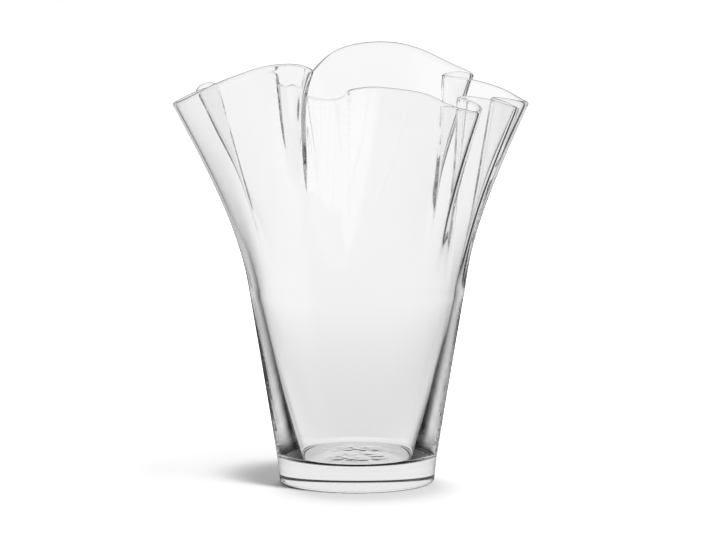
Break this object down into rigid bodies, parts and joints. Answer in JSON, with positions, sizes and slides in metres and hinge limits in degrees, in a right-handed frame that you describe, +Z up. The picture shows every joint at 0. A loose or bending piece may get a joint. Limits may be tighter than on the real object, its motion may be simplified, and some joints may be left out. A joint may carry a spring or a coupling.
{
  "type": "fan vase",
  "caption": "Clear hand-blown glass vase with a heavy round base, a tapering body and a wide flared mouth pinched into irregular pleats, for holding cut flowers.",
  "frame": {"origin": "centre of the flat ground underside, on the surface the vase stands on", "axes": "+Z up along the round body's axis, -Y towards the front, +X to the right of someone who faces the front"},
  "size_m": [0.2258, 0.1669, 0.2791],
  "materials": {
    "clear_glass": "smooth fire-polished hand-blown soda-lime glass, colourless"
  },
  "bodies": {
    "root": {"base": "clear_glass", "body": "clear_glass", "rim": "clear_glass"}
  },
  "joints": []
}
